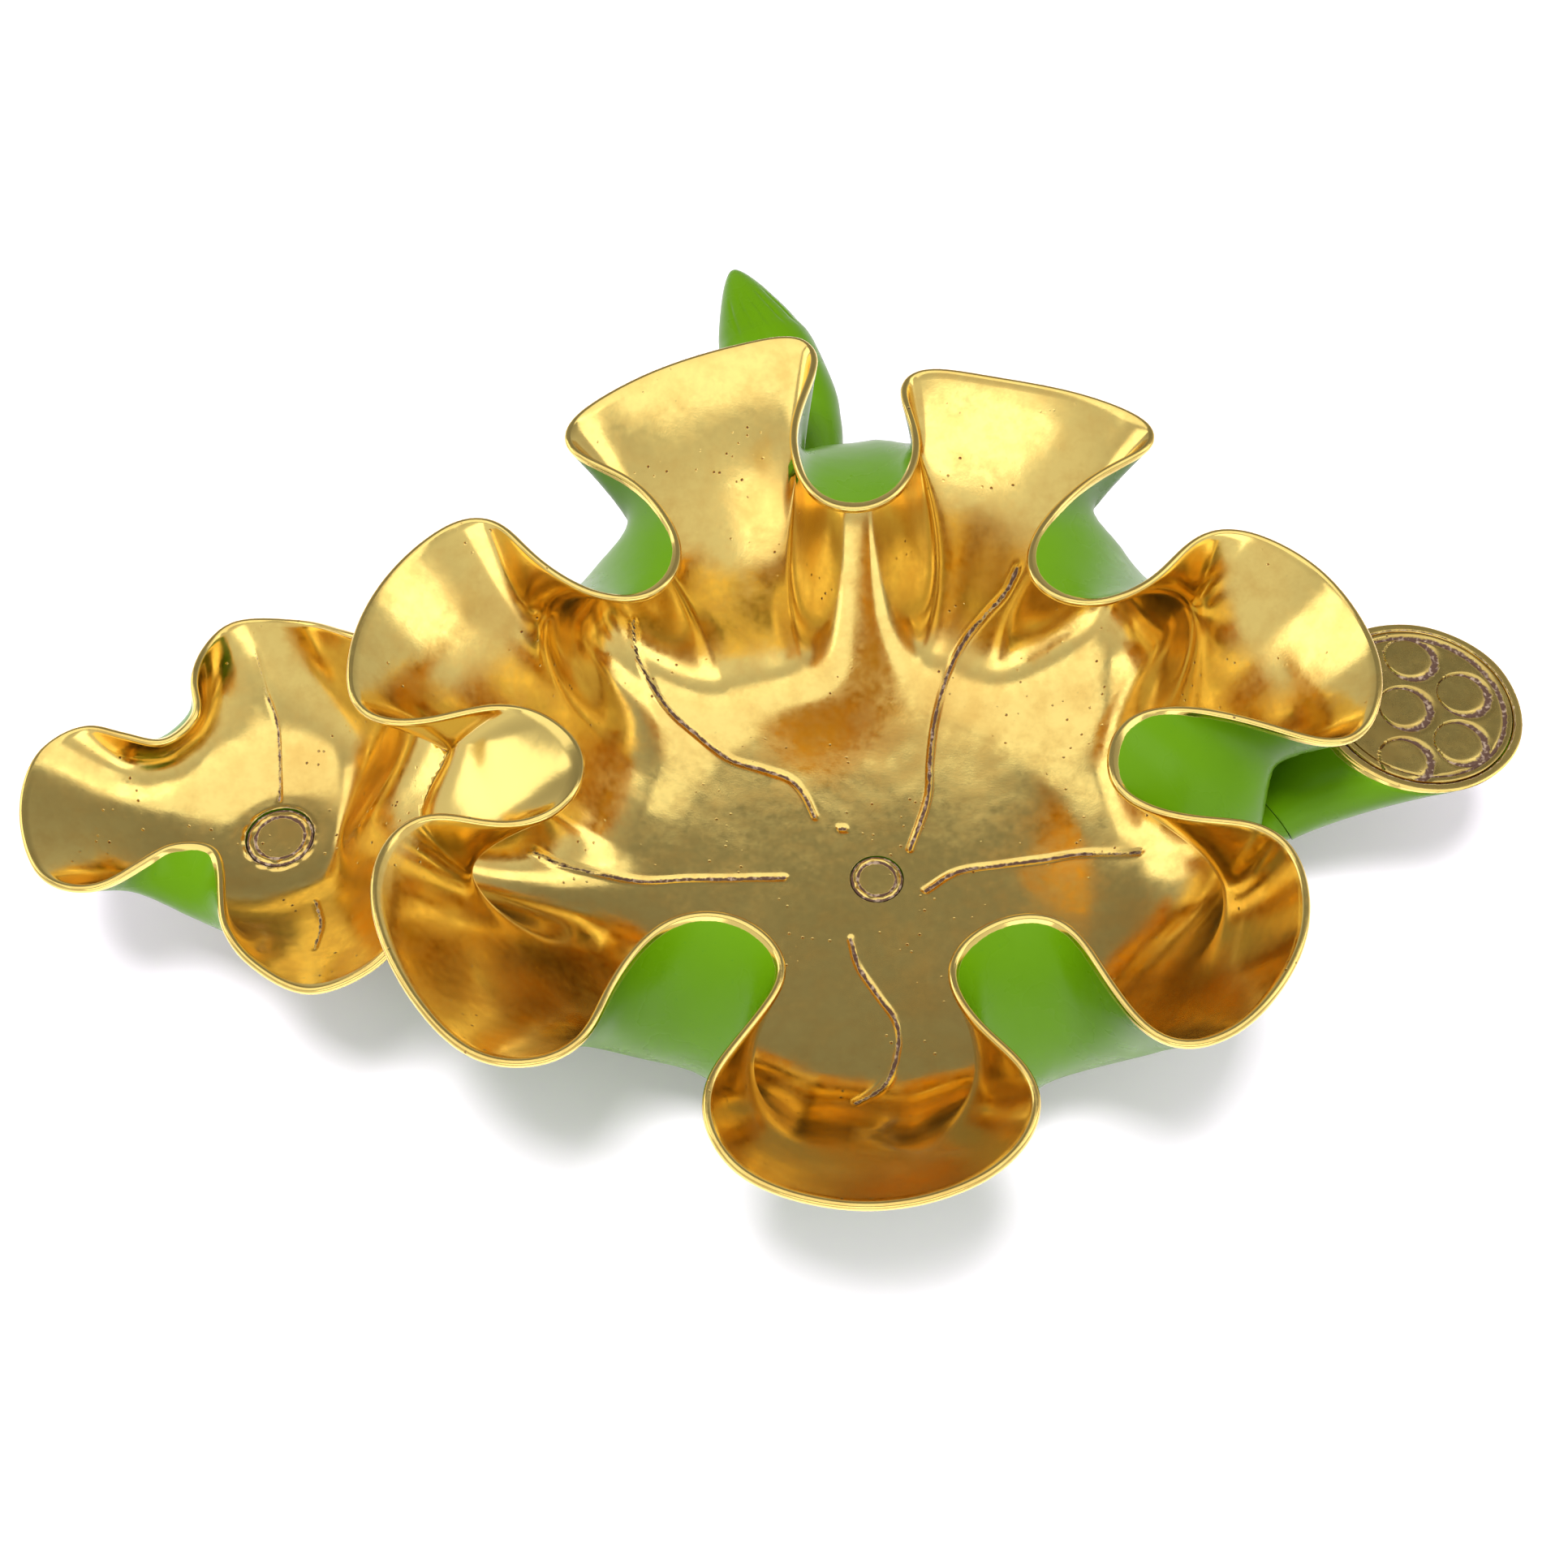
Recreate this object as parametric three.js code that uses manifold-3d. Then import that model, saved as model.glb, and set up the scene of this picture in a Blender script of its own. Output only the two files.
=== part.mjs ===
// Lotus-leaf urli: a cast brass bowl in the shape of a ruffled lotus leaf, with a small leaf, a seed pod and a
// closed bud on short stalks beside it. The upper faces are polished brass and the outside is green lacquer.
// Millimetres, +Z up. The origin is on the table, under the middle of the large leaf, at the foot's underside.
import * as THREE from "three";
import Module from "manifold-3d";
import { mergeVertices } from "three/addons/utils/BufferGeometryUtils.js";

const wasm = await Module();
wasm.setup();

// Driving dimensions
const WALL = 2.2; // casting thickness of the leaves and the pod
const GAP = 0.3; // clearance left between brazed pieces
const LEAF_FLOOR = 12; // height of the large leaf's inside floor above the table
const SMALL_LEAF = [-165, -6, 45]; // middle of the small leaf's inside floor
const FOOT_RADIUS = 46;
const LARGE_PIN_RADIUS = 7.5; // heads of the pins that hold the leaves on their feet, flush with the floors
const SMALL_PIN_RADIUS = 9;
const SHANK_RADIUS = 4;
const STALK_RADIUS = 4.5;
const STALK_HEIGHT = 6; // centre height of the stalks where they leave the foot
const POD_TOP = [148, 26.5, 62]; // middle of the seed pod's top
const POD_BASE = [110, 6, 38]; // middle of the pod's narrow end
const POD_LEAN = [0.8, 0.45, 0.45]; // direction in which the pod leaves its narrow end
const POD_RADIUS = 28.8;
const POD_BASE_RADIUS = 9;
const FACE_RADIUS = 25.4; // round plate that closes the pod
const FACE_THICKNESS = 2.7;
const SEED_PITCH = 17.5; // distance between neighbouring seed rings
const SEED_RADIUS = 7;
const BUD_TIP = [-44, 206, 58];
const BUD_BASE = [-15, 128, 32];

// Finishes
const finish = (color, roughness, metalness) => new THREE.MeshStandardMaterial({ color, roughness, metalness });
const polishedBrass = () => finish(0xd0a548, 0.15, 1);
const castBrass = () => finish(0x8f7637, 0.35, 1);
const greenLacquer = () => finish(0x4f9e0c, 0.3, 0);

// The large leaf's rim, measured from the middle of its floor: seven lobes that lean out, and the folds between
// them that lean in over the bowl. Each pair of rows is a lobe and the fold that follows it, counter-clockwise.
const LARGE_RIM = [
  [115, -8, 83], [124, 8, 85], [123, 26, 85], [112, 48, 85], [90, 60, 84],
  [70, 42, 81], [53, 36, 80], [39, 44, 80], [40, 61, 80], [58, 82, 82],
  [78, 94, 85], [64, 106, 85], [35, 115, 85], [8, 119, 84],
  [12, 93, 82], [4, 74, 80], [-9, 69, 80], [-20, 75, 80], [-26, 96, 82],
  [-19, 132, 85], [-40, 129, 85], [-72, 113, 85], [-89, 94, 84],
  [-66, 78, 82], [-54, 56, 80], [-61, 39, 80], [-75, 38, 80], [-94, 50, 82],
  [-109, 65, 84], [-126, 51, 85], [-137, 25, 85], [-134, 0, 84],
  [-120, -1, 82], [-97, 6, 80], [-77, -10, 80], [-81, -28, 80], [-95, -33, 81],
  [-117, -31, 83], [-124, -49, 85], [-114, -75, 85], [-94, -95, 85], [-75, -92, 84],
  [-68, -74, 81], [-55, -57, 80], [-38, -56, 80], [-25, -70, 80], [-35, -88, 82],
  [-44, -104, 85], [-37, -121, 86], [-7, -129, 86], [20, -120, 86], [29, -103, 85],
  [15, -85, 82], [10, -70, 80], [24, -57, 80], [40, -57, 80], [51, -78, 82],
  [60, -91, 84], [76, -87, 85], [94, -62, 85], [92, -36, 84],
  [70, -31, 82], [54, -22, 80], [58, -1, 80], [73, 5, 80], [93, -1, 82],
];

// The small leaf's rim, measured from the middle of its own floor: three free lobes with two folds between them,
// then the edge that rises across the mouth of the large leaf's fold and is brazed to its wall.
const SMALL_RIM = [
  [37, 33, 40], [23, 38, 39], [5, 50, 30], [-15, 52, 27], [-20, 44, 27], [-21, 34, 27],
  [-19, 23, 25], [-27, 14, 24],
  [-39, 15, 26], [-49, 17, 27], [-58, 10, 27], [-59, -7, 27], [-49, -27, 27], [-37, -30, 27],
  [-20, -18, 25], [-8, -19, 24],
  [0, -42, 27], [7, -51, 27], [22, -59, 27], [37, -54, 30], [46, -44, 34],
  [57, -28, 34], [60, -13, 34], [58, 2, 34], [49, 18, 37],
];

const polar = (angle, radius, z) => new THREE.Vector3(radius * Math.cos(angle), radius * Math.sin(angle), z);

// Gaussian blur of a closed run of points. share is the blur's width as a share of the whole run.
function blur(points, share) {
  const width = share * points.length;
  const reach = Math.ceil(3 * width);
  return points.map((_, i) => {
    const sum = new THREE.Vector3();
    let total = 0;
    for (let k = -reach; k <= reach; k++) {
      const weight = Math.exp(-0.5 * (k / width) ** 2);
      sum.addScaledVector(points[(i + k + points.length) % points.length], weight);
      total += weight;
    }
    return sum.divideScalar(total);
  });
}

// The wall's run from the floor's edge to the rim: a cubic that leaves the floor along its slope, passes the belly
// at six tenths of its length and ends at the rim.
function wallPoint(foot, out, belly, tip, s) {
  const at = (p, q, a, b, t) => {
    const r = 1 - t;
    return p.clone().multiplyScalar(r ** 3).addScaledVector(q, 3 * r * r * t)
      .addScaledVector(a, 3 * r * t * t).addScaledVector(b, t ** 3);
  };
  const zero = new THREE.Vector3();
  const pull = belly.clone().sub(at(foot, out, zero, tip, 0.6)).divideScalar(3 * 0.4 * 0.36);
  return at(foot, out, pull, tip, s);
}

// The inside face of a ruffled leaf, as rings of points from the dished floor out to the rim, one for each point
// of the rim. Each wall run stands at the angle of the rim's own rounded-off shape.
function leafRings({ rim, count, floorRadius, dish, shoulder, bellyRadius, bellyHeight, floorRings, wallRings }) {
  const curve = new THREE.CatmullRomCurve3(rim.map((p) => new THREE.Vector3(...p)), true, "centripetal");
  const edge = blur(curve.getSpacedPoints(count).slice(0, count), 0.004);
  const angles = blur(edge, 0.055).map((p) => Math.atan2(p.y, p.x));
  const rings = [];
  for (let k = 1; k <= floorRings; k++) {
    const radius = (floorRadius * k) / floorRings;
    rings.push(angles.map((angle) => polar(angle, radius, dish * radius * radius)));
  }
  const floorEdge = dish * floorRadius * floorRadius;
  const shoulderHeight = floorEdge + 2 * dish * floorRadius * shoulder;
  for (let k = 1; k <= wallRings; k++) {
    rings.push(edge.map((tip, i) => {
      const foot = polar(angles[i], floorRadius, floorEdge);
      const out = polar(angles[i], floorRadius + shoulder, shoulderHeight);
      const belly = polar(angles[i], bellyRadius(angles[i], Math.hypot(tip.x, tip.y)), bellyHeight);
      return wallPoint(foot, out, belly, tip, k / wallRings);
    }));
  }
  return rings;
}

// A closed shell around the face that leafRings made, from above it to below it.
function leafShell(rings, above, below) {
  const count = rings[0].length;
  const last = rings.length - 1;
  const face = [new THREE.Vector3(), ...rings.flat()];
  const triangles = [];
  for (let i = 0; i < count; i++) {
    const next = (i + 1) % count;
    triangles.push([0, 1 + i, 1 + next]);
    for (let k = 0; k < last; k++) {
      const a = 1 + k * count;
      const b = a + count;
      triangles.push([a + i, b + i, b + next], [a + i, b + next, a + next]);
    }
  }
  const sheet = new THREE.BufferGeometry().setFromPoints(face);
  sheet.setIndex(triangles.flat());
  sheet.computeVertexNormals();
  const normals = face.map((_, i) => new THREE.Vector3().fromBufferAttribute(sheet.getAttribute("normal"), i));
  const upper = face.map((p, i) => p.clone().addScaledVector(normals[i], above));
  const lower = face.map((p, i) => p.clone().addScaledVector(normals[i], -below));
  const shift = face.length;
  const faces = [...triangles, ...triangles.map(([a, b, c]) => [a + shift, c + shift, b + shift])];
  for (let i = 0; i < count; i++) {
    const a = 1 + last * count + i;
    const b = 1 + last * count + ((i + 1) % count);
    faces.push([a, a + shift, b + shift], [a, b + shift, b]);
  }
  const shell = new THREE.BufferGeometry().setFromPoints([...upper, ...lower]);
  shell.setIndex(faces.flat());
  return shell;
}

// Boolean helpers
function solid(geometry) {
  const bare = geometry.clone().deleteAttribute("normal").deleteAttribute("uv");
  const merged = mergeVertices(bare, 1e-4);
  return new wasm.Manifold(new wasm.Mesh({
    numProp: 3,
    vertProperties: new Float32Array(merged.attributes.position.array),
    triVerts: new Uint32Array(merged.index.array),
  }));
}

function geometryOf(manifold) {
  const mesh = manifold.getMesh();
  const geometry = new THREE.BufferGeometry();
  geometry.setAttribute("position", new THREE.BufferAttribute(new Float32Array(mesh.vertProperties), 3));
  geometry.setIndex(new THREE.BufferAttribute(new Uint32Array(mesh.triVerts), 1));
  geometry.computeVertexNormals();
  return geometry;
}

const largest = (manifold) => manifold.decompose().reduce((a, b) => (b.volume() > a.volume() ? b : a));

// A turned solid from an outline of [radius, height] points that starts and ends on the axis.
function turned(outline, sides = 64) {
  return new THREE.LatheGeometry(outline.map(([r, z]) => new THREE.Vector2(r, z)), sides).rotateX(Math.PI / 2);
}

const drum = (radius, bottom, top, sides) => turned([[0, bottom], [radius, bottom], [radius, top], [0, top]], sides);

// Turns a solid that stands on the origin so that its axis runs from one point towards another.
function aim(geometry, from, to) {
  const axis = new THREE.Vector3(...to).sub(new THREE.Vector3(...from)).normalize();
  const turn = new THREE.Quaternion().setFromUnitVectors(new THREE.Vector3(0, 0, 1), axis);
  return geometry.applyQuaternion(turn).translate(...from);
}

const urli = new THREE.Group();
urli.name = "lotus_urli";

function place(name, geometry, material, position = [0, 0, 0]) {
  const mesh = new THREE.Mesh(geometry, material);
  mesh.name = name;
  mesh.position.set(...position);
  urli.add(mesh);
}

// Large leaf
const LARGE = {
  rim: LARGE_RIM,
  count: 120,
  floorRadius: 58,
  dish: 0.0012,
  shoulder: 30,
  bellyRadius: (angle, reach) => {
    const towardsSmallLeaf = Math.max(0, -Math.cos(angle - 0.1)) ** 14;
    const towardsCorner = Math.max(0, Math.sin(angle)) * Math.abs(Math.cos(angle));
    const atFold = 103 + 20 * Math.sin(angle) - 18 * towardsCorner - 2 * Math.cos(angle) + 23 * towardsSmallLeaf;
    const atLobe = 93 - 3 * Math.sin(angle) + 9 * Math.max(0, -Math.cos(angle)) ** 2;
    return THREE.MathUtils.lerp(atFold, atLobe, THREE.MathUtils.smoothstep(reach, 70, 125));
  },
  bellyHeight: 38,
  floorRings: 3,
  wallRings: 8,
};
const largeUnderside = (radius) => LEAF_FLOOR + LARGE.dish * radius * radius - WALL;

function largeLeaf() {
  const shell = solid(leafShell(leafRings(LARGE), 0, WALL));
  const pinHole = solid(drum(LARGE_PIN_RADIUS + GAP, -10, 10, 48));
  return geometryOf(shell.subtract(pinHole));
}

// Small leaf: its neck ends short of the large leaf's wall by the brazing gap.
const SMALL = {
  rim: SMALL_RIM,
  count: 80,
  floorRadius: 13,
  dish: 0.002,
  shoulder: 10,
  bellyRadius: (angle, reach) => 30 + 0.12 * reach - 11 * Math.max(0, Math.cos(angle)) ** 6,
  bellyHeight: 11,
  floorRings: 2,
  wallRings: 6,
};
const smallUnderside = SMALL_LEAF[2] - WALL;

function smallLeaf() {
  const shell = solid(leafShell(leafRings(SMALL), 0, WALL)).translate(SMALL_LEAF);
  // The grown copy can fold over itself in a tight crease, so the true wall is cut away as well.
  const near = (by) => solid(leafShell(leafRings(LARGE), by, WALL + by)).translate([0, 0, LEAF_FLOOR]);
  const pinHole = solid(drum(SMALL_PIN_RADIUS + GAP, -10, 10, 48)).translate(SMALL_LEAF);
  return geometryOf(largest(shell.subtract(near(GAP)).subtract(near(0.02))).subtract(pinHole));
}

// Feet: turned pads with flat undersides. Their tops follow the leaves and have blind holes for the pins.
const PIN_DEPTH = 3; // height of the pins' ends above the table
function foot() {
  const top = (r) => largeUnderside(r) - GAP;
  return turned([
    [0, 0], [FOOT_RADIUS - 1, 0], [FOOT_RADIUS, 1], [FOOT_RADIUS, top(FOOT_RADIUS)],
    [31, top(31)], [16, top(16)],
    [SHANK_RADIUS + GAP, top(0)], [SHANK_RADIUS + GAP, PIN_DEPTH - GAP], [0, PIN_DEPTH - GAP],
  ], 48);
}

function smallFoot() {
  const top = smallUnderside - GAP;
  return turned([
    [0, 0], [17, 0], [18, 1], [18, 3.5], [12, 6.5], [8.5, 13], [8, 22], [9.5, 32], [12.5, top],
    [SHANK_RADIUS + GAP, top], [SHANK_RADIUS + GAP, top - 25 - GAP], [0, top - 25 - GAP],
  ], 40);
}

// Pins: flat heads flush with the leaves' floors, on shanks that go down into the feet.
function pin(headRadius, underside, floor, end) {
  return turned([[0, end], [SHANK_RADIUS, end], [SHANK_RADIUS, underside], [headRadius, underside],
    [headRadius, floor], [0, floor]], 48);
}

// Seed pod: a hollow cone that bends over from a narrow end at the leaf's wall to a level, round top.
function podSection(share, shrink) {
  const base = new THREE.Vector3(...POD_BASE);
  const top = new THREE.Vector3(...POD_TOP);
  const lean = new THREE.Vector3(...POD_LEAN).normalize();
  const knee = base.clone().addScaledVector(lean, 26);
  const curve = new THREE.QuadraticBezierCurve3(base, knee, top);
  const normal = lean.clone().lerp(new THREE.Vector3(0, 0, 1), Math.sqrt(share)).normalize();
  const radius = POD_BASE_RADIUS + (POD_RADIUS - POD_BASE_RADIUS) * share ** 1.15 - shrink;
  return { centre: curve.getPoint(share), normal, radius };
}

// A closed solid through round sections, with flat ends.
function loft(sections, sides = 48) {
  const points = [];
  const faces = [];
  sections.forEach(({ centre, normal, radius }) => {
    const across = new THREE.Vector3(0, 1, 0).cross(normal).normalize();
    const along = normal.clone().cross(across);
    for (let i = 0; i < sides; i++) {
      const angle = (2 * Math.PI * i) / sides;
      points.push(centre.clone().addScaledVector(across, radius * Math.cos(angle))
        .addScaledVector(along, radius * Math.sin(angle)));
    }
  });
  const lastRing = (sections.length - 1) * sides;
  points.push(sections[0].centre, sections[sections.length - 1].centre);
  for (let i = 0; i < sides; i++) {
    const next = (i + 1) % sides;
    for (let a = 0; a < lastRing; a += sides) {
      faces.push([a + i, a + next, a + sides + next], [a + i, a + sides + next, a + sides + i]);
    }
    faces.push([points.length - 2, next, i], [points.length - 1, lastRing + i, lastRing + next]);
  }
  const geometry = new THREE.BufferGeometry().setFromPoints(points);
  geometry.setIndex(faces.flat());
  return geometry;
}

const POD_SHARES = [0, 0.15, 0.35, 0.55, 0.75, 0.9, 1];
function seedPod() {
  const outside = solid(loft(POD_SHARES.map((share) => podSection(share, 0))));
  const hollow = solid(loft(POD_SHARES.slice(2).map((share) => podSection(share, WALL))));
  const mouth = solid(drum(FACE_RADIUS + GAP, -FACE_THICKNESS - GAP, 1, 48)).translate(POD_TOP);
  return geometryOf(outside.subtract(hollow).subtract(mouth));
}

// Pod face: a round plate let into the pod's mouth, with a ring cut around each seed.
const SEEDS = [[0, 0], ...[15, 75, 140, -100, -42].map((degrees) => {
  const angle = THREE.MathUtils.degToRad(degrees);
  return [SEED_PITCH * Math.cos(angle), SEED_PITCH * Math.sin(angle)];
})];
function podFace() {
  const plate = solid(drum(FACE_RADIUS, -FACE_THICKNESS, 0, 48));
  const rings = SEEDS.map(([x, y]) => solid(new THREE.TorusGeometry(SEED_RADIUS, 0.7, 6, 28)).translate([x - 4, y - 1, 0]));
  return geometryOf(rings.reduce((rest, ring) => rest.subtract(ring), plate));
}

// Stalks: round rods that leave the foot or the pod under the leaves and rise to what they carry.
function stalk(points, radius) {
  const path = new THREE.CatmullRomCurve3(points.map((p) => new THREE.Vector3(...p)));
  const circle = new THREE.Shape().absarc(0, 0, radius, 0, 2 * Math.PI);
  return new THREE.ExtrudeGeometry(circle, { extrudePath: path, steps: 18, curveSegments: 10 });
}

// Bud: closed petals around an egg shape that draws out to a point.
function bud() {
  const length = new THREE.Vector3(...BUD_TIP).distanceTo(new THREE.Vector3(...BUD_BASE));
  const outline = [[0, 0], [6, 0], [8, 0.05], [12, 0.15], [15.5, 0.28], [17.2, 0.42], [16.8, 0.56],
    [14, 0.7], [9.8, 0.83], [5.6, 0.93], [2.2, 0.985], [0, 1]];
  return aim(turned(outline.map(([r, share]) => [r, share * length]), 40), BUD_BASE, BUD_TIP);
}

const back = (point, direction, distance) => {
  const step = new THREE.Vector3(...direction).setLength(-distance);
  return new THREE.Vector3(...point).add(step).toArray();
};
const budLean = BUD_TIP.map((v, i) => v - BUD_BASE[i]);
const atFoot = (angle) => polar(THREE.MathUtils.degToRad(angle), FOOT_RADIUS + 0.9, STALK_HEIGHT).toArray();
const podStalk = [atFoot(3), [80, 4, 10], back(POD_BASE, POD_LEAN, 10), back(POD_BASE, POD_LEAN, GAP)];
const budStalk = [atFoot(96), [-9, 92, 10], back(BUD_BASE, budLean, 10), back(BUD_BASE, budLean, GAP)];
const tieRod = [atFoot(182), [-85, -3, 8], [-120, -4.5, 12], [SMALL_LEAF[0] + 9.2, SMALL_LEAF[1], 18]];

place("foot", foot(), castBrass());
place("large_leaf", largeLeaf(), polishedBrass(), [0, 0, LEAF_FLOOR]);
place("large_pin", pin(LARGE_PIN_RADIUS, largeUnderside(0), LEAF_FLOOR, PIN_DEPTH), polishedBrass());
place("small_foot", smallFoot(), castBrass(), [SMALL_LEAF[0], SMALL_LEAF[1], 0]);
place("small_leaf", smallLeaf(), polishedBrass());
const smallPin = pin(SMALL_PIN_RADIUS, smallUnderside, SMALL_LEAF[2], smallUnderside - GAP - 25);
place("small_pin", smallPin, polishedBrass(), [SMALL_LEAF[0], SMALL_LEAF[1], 0]);
place("tie_rod", stalk(tieRod, STALK_RADIUS), castBrass());
place("pod_stalk", stalk(podStalk, STALK_RADIUS), greenLacquer());
place("seed_pod", seedPod(), greenLacquer());
place("pod_face", podFace(), polishedBrass(), POD_TOP);
place("bud_stalk", stalk(budStalk, STALK_RADIUS), greenLacquer());
place("lotus_bud", bud(), greenLacquer());

export default urli;
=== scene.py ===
import math

import bmesh
import bpy
import numpy as np
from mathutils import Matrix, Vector, kdtree, noise


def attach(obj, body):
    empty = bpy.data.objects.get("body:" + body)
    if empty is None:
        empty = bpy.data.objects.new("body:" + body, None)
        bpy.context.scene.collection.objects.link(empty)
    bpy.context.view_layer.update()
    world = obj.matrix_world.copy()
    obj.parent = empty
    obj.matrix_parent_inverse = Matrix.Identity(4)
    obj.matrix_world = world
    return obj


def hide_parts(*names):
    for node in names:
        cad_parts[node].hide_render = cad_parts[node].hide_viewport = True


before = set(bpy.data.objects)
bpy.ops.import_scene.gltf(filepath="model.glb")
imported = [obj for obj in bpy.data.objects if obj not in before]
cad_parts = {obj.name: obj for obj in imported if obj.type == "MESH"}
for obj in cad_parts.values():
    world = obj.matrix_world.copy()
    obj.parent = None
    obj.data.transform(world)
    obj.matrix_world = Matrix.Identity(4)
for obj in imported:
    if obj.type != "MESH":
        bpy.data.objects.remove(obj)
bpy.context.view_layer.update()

# ------------------------------------------------------------------------------------------------
# The studio: white paper, a broad softbox overhead, three smaller ones and a key light. Polished
# brass shows its surroundings, so the room is bright low down and dark above and behind, where
# the bowl's floor looks.
# ------------------------------------------------------------------------------------------------
scene = bpy.context.scene
scene.view_settings.view_transform = "Standard"

# The paper is a shade off white, against the green that the lacquer throws on it.
paper = bpy.data.materials.new("white_paper")
paper.use_nodes = True
paper_shader = paper.node_tree.nodes["Principled BSDF"]
paper_shader.inputs["Base Color"].default_value = (0.93, 0.87, 0.95, 1)
paper_shader.inputs["Roughness"].default_value = 0.8
paper_shader.inputs["Specular IOR Level"].default_value = 0.1
paper_shader.inputs["Emission Color"].default_value = (1, 1, 1, 1)
paper_shader.inputs["Emission Strength"].default_value = 0.06
sweep_mesh = bpy.data.meshes.new("paper_sweep")
sweep_reach = 8
corners = [(x * sweep_reach, y * sweep_reach, 0) for x, y in ((-1, -1), (1, -1), (1, 1), (-1, 1))]
sweep_mesh.from_pydata(corners, [], [(0, 1, 2, 3)])
sweep_mesh.materials.append(paper)
sweep = bpy.data.objects.new("paper_sweep", sweep_mesh)
scene.collection.objects.link(sweep)


def softbox(name, place, tilt, width, height, watts):
    """A flat lamp that faces down, or is tilted up from there towards the bowl."""
    light = bpy.data.lights.new(name, "AREA")
    light.shape = "RECTANGLE"
    light.size = width
    light.size_y = height
    light.energy = watts
    lamp = bpy.data.objects.new(name, light)
    lamp.location = place
    bearing = math.atan2(place[0], -place[1])
    lamp.rotation_euler = (tilt, 0, bearing if tilt else 0)
    scene.collection.objects.link(lamp)
    return lamp


softbox("softbox_overhead", (-0.05, -0.08, 1.3), 0, 2.2, 1.3, 8.6)
softbox("softbox_left", (-1.20, 0.35, 0.70), math.radians(60), 0.8, 0.7, 2.3)
softbox("softbox_right", (1.15, 0.10, 0.85), math.radians(55), 0.5, 0.9, 1.9)
softbox("softbox_front", (0.10, -1.15, 0.70), math.radians(60), 1.3, 0.5, 2.4)
# The key light only casts the shadow and lights the lacquer: the brass doesn't reflect it.
key = softbox("key_light", (-0.10, -0.22, 1.25), 0, 0.30, 0.30, 16)
key_aim = Vector((0, 0, 0.05))
key.rotation_euler = (Vector(key.location) - key_aim).to_track_quat("Z", "Y").to_euler()
key.visible_glossy = False

world = bpy.data.worlds.new("studio_room")
scene.world = world
world.use_nodes = True
room = world.node_tree
facing = room.nodes.new("ShaderNodeTexCoord")
towards_back = room.nodes.new("ShaderNodeVectorMath")
towards_back.operation = "DOT_PRODUCT"
towards_back.inputs[1].default_value = (0, 0.5, 1)
room_light = room.nodes.new("ShaderNodeValToRGB")
room_light.color_ramp.elements[0].position = 0.15
room_light.color_ramp.elements[0].color = (0.80, 0.80, 0.80, 1)
room_light.color_ramp.elements[1].position = 0.90
room_light.color_ramp.elements[1].color = (0.26, 0.26, 0.26, 1)
room.links.new(facing.outputs["Generated"], towards_back.inputs[0])
room.links.new(towards_back.outputs["Value"], room_light.inputs["Fac"])
room.links.new(room_light.outputs["Color"], room.nodes["Background"].inputs["Color"])

# The camera looks down at 57 degrees from the front, close to the bowl, at a point just behind
# its middle.
camera_data = bpy.data.cameras.new("camera")
camera_data.sensor_width = 36
camera_data.lens = 42
camera = bpy.data.objects.new("camera", camera_data)
scene.collection.objects.link(camera)
scene.camera = camera
look_at = Vector((-0.027, 0.033, 0.012))
elevation = math.radians(57)
camera_distance = 0.55
camera.location = look_at + camera_distance * Vector((0, -math.cos(elevation), math.sin(elevation)))
camera.rotation_euler = (math.pi / 2 - elevation, 0, 0)

# ------------------------------------------------------------------------------------------------
# Large leaf: the bowl itself, a sand-cast brass lotus leaf with a dished floor and an edge pushed
# into lobes and folds. The inside is ground and buffed by hand, the outside is sprayed with green
# lacquer, and the veins are cut with a chisel and rubbed with dark patina.
# ------------------------------------------------------------------------------------------------
mm = 0.001
wall = 2.2
leaf_floor = 12
floor_radius = 58
floor_dish = 0.0012
large_pin_radius = 7.5
pin_gap = 0.4
large_rim = [
    (115, -8, 83), (124, 8, 85), (123, 26, 85), (112, 48, 85), (90, 60, 84),
    (70, 42, 81), (53, 36, 80), (39, 44, 80), (40, 61, 80), (58, 82, 82),
    (78, 94, 85), (64, 106, 85), (35, 115, 85), (8, 119, 84),
    (12, 93, 82), (4, 74, 80), (-9, 69, 80), (-20, 75, 80), (-26, 96, 82),
    (-19, 132, 85), (-40, 129, 85), (-72, 113, 85), (-89, 94, 84),
    (-66, 78, 82), (-54, 56, 80), (-61, 39, 80), (-75, 38, 80), (-94, 50, 82),
    (-109, 65, 84), (-126, 51, 85), (-137, 25, 85), (-134, 0, 84),
    (-120, -1, 82), (-97, 6, 80), (-77, -10, 80), (-81, -28, 80), (-95, -33, 81),
    (-117, -31, 83), (-124, -49, 85), (-114, -75, 85), (-94, -95, 85), (-75, -92, 84),
    (-68, -74, 81), (-55, -57, 80), (-38, -56, 80), (-25, -70, 80), (-35, -88, 82),
    (-44, -104, 85), (-37, -121, 86), (-7, -129, 86), (20, -120, 86), (29, -103, 85),
    (15, -85, 82), (10, -70, 80), (24, -57, 80), (40, -57, 80), (51, -78, 82),
    (60, -91, 84), (76, -87, 85), (94, -62, 85), (92, -36, 84),
    (70, -31, 82), (54, -22, 80), (58, -1, 80), (73, 5, 80), (93, -1, 82),
]


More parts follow.
